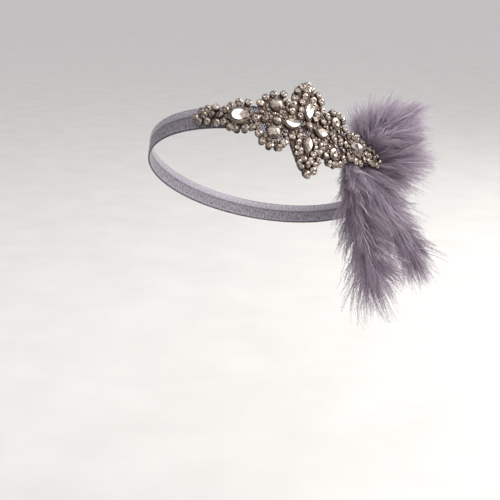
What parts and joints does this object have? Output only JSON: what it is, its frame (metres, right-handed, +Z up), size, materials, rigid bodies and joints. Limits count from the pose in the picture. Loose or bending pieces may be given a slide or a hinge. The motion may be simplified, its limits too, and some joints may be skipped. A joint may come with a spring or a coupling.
{
  "type": "flapper headband",
  "caption": "Elastic flapper headband with a long claw-set crystal ornament on felt and marabou plumes tucked behind its end, worn tilted on the head.",
  "frame": {"origin": "centre of the band loop, where the head goes in", "axes": "+Z up as worn, the face looks along -Y, and +X is the wearer's left"},
  "size_m": [0.1858, 0.1743, 0.1594],
  "materials": {
    "elastic": "satin fold-over elastic, lilac",
    "felt": "matt wool felt, lilac grey",
    "setting": "silver claw cups with foil-backed crystals, slightly tarnished",
    "crystal": "cut crystal with a silver foil back",
    "marabou": "soft lilac marabou down"
  },
  "bodies": {
    "root": {"band": "elastic", "backing": "felt", "stones": "setting", "oval_left": "crystal", "oval_right": "crystal", "rosette_upper_left": "crystal", "rosette_upper_right": "crystal", "rosette_lower_left": "crystal", "rosette_lower_right": "crystal", "inner_round_left": "crystal", "inner_round_right": "crystal", "navette_left": "crystal", "navette_right": "crystal", "navette_upper": "crystal", "navette_lower": "crystal", "center_round": "crystal", "plume_upper": "marabou", "plume_lower": "marabou"}
  },
  "joints": []
}
